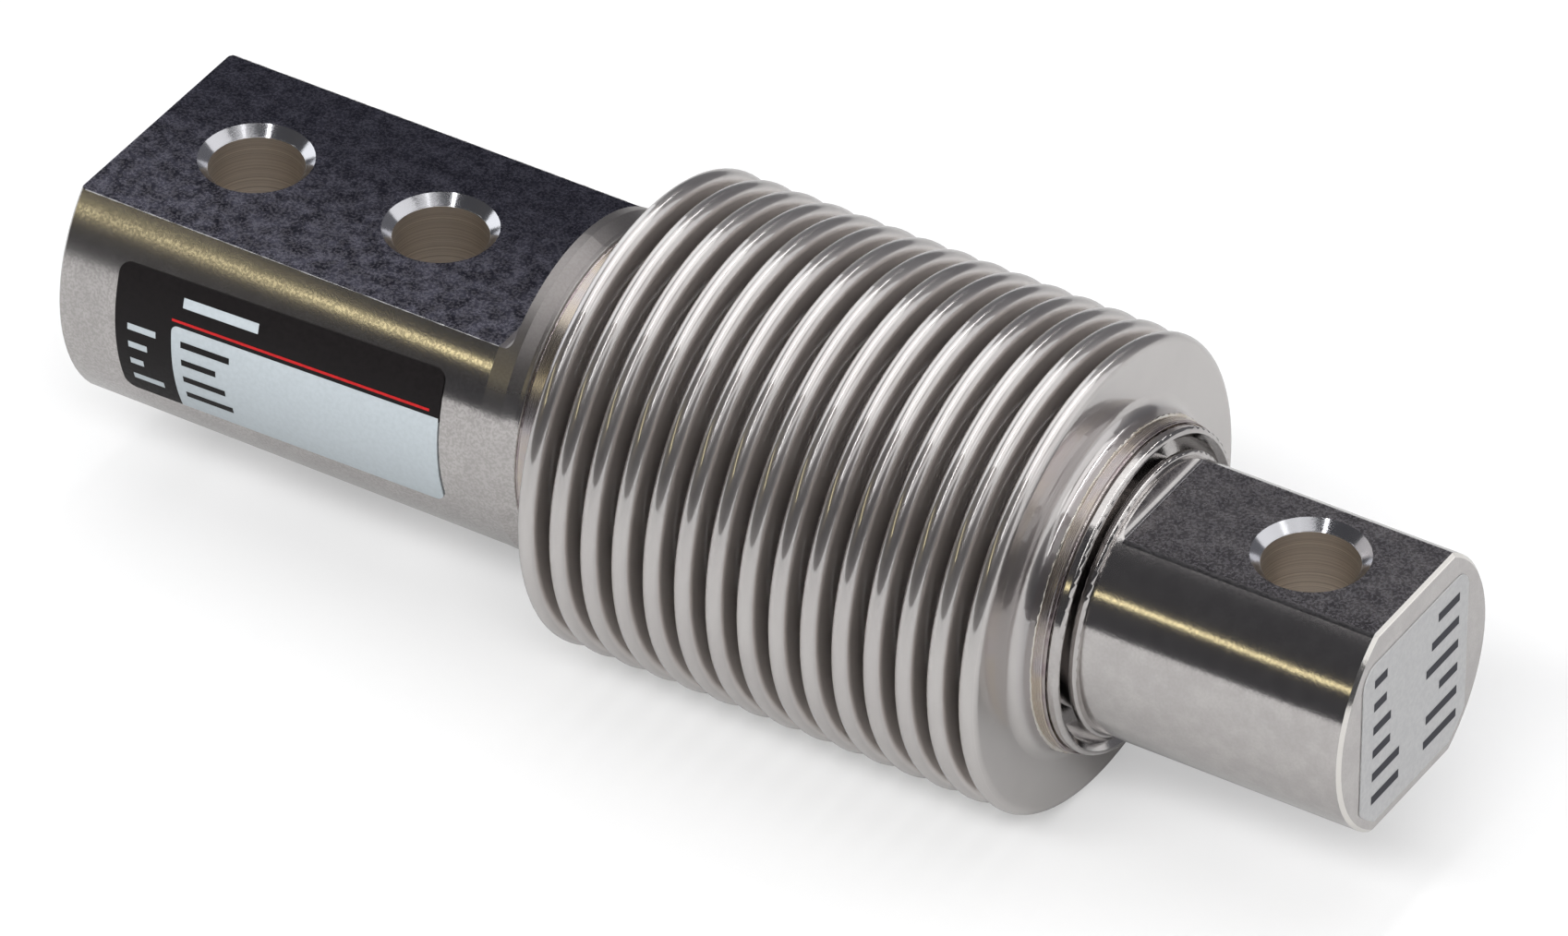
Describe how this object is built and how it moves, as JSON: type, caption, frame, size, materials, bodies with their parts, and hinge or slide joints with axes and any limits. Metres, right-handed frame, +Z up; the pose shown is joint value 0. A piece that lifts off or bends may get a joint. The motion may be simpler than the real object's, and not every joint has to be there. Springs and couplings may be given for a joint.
{
  "type": "single-ended beam load cell",
  "caption": "Stainless bending beam load cell: flat bolted fixed end, welded metal bellows over the gauged section, flat load end with a vertical bore, cable gland in the fixed end face.",
  "frame": {"origin": "middle of the fixed end's two bolt holes, on its flat underside", "axes": "+X from the bolted fixed end to the load end, +Z up through the bolt holes, +Y to the side of the cable gland"},
  "size_m": [0.1589, 0.0532, 0.0532],
  "materials": {
    "beam_steel": "machined and lightly tumbled stainless steel",
    "bellows_steel": "formed stainless steel, satin",
    "ring_steel": "turned stainless steel, tinted by the weld",
    "gland_steel": "turned stainless steel",
    "seal_rubber": "matt rubber",
    "gauge_film": "amber film",
    "board_laminate": "glass fibre laminate",
    "resistor_enamel": "enamelled winding",
    "gauge_lead_copper": "enamelled copper",
    "potting_resin": "cast resin",
    "wire_blue": "wire insulation",
    "wire_black": "wire insulation",
    "wire_white": "wire insulation",
    "wire_red": "wire insulation",
    "wire_green": "wire insulation",
    "wire_grey": "wire insulation",
    "rating_film": "printed label film",
    "wiring_film": "printed label film"
  },
  "bodies": {
    "root": {"spring_beam": "beam_steel", "bellows": "bellows_steel", "fixed_weld_ring": "ring_steel", "load_weld_ring": "ring_steel", "top_fixed_gauge": "gauge_film", "top_load_gauge": "gauge_film", "bottom_fixed_gauge": "gauge_film", "bottom_load_gauge": "gauge_film", "top_fixed_gauge_lead": "gauge_lead_copper", "top_load_gauge_lead": "gauge_lead_copper", "bottom_fixed_gauge_lead": "gauge_lead_copper", "bottom_load_gauge_lead": "gauge_lead_copper", "terminal_board": "board_laminate", "zero_trim_resistor": "resistor_enamel", "span_trim_resistor": "resistor_enamel", "temperature_trim_resistor": "resistor_enamel", "blue_lead_wire": "wire_blue", "black_lead_wire": "wire_black", "white_lead_wire": "wire_white", "red_lead_wire": "wire_red", "green_lead_wire": "wire_green", "grey_lead_wire": "wire_grey", "potting_plug": "potting_resin", "cable_gland_body": "gland_steel", "cable_seal": "seal_rubber", "gland_washer": "gland_steel", "gland_pressure_screw": "gland_steel", "rating_label": "rating_film", "wiring_label": "wiring_film"}
  },
  "joints": []
}
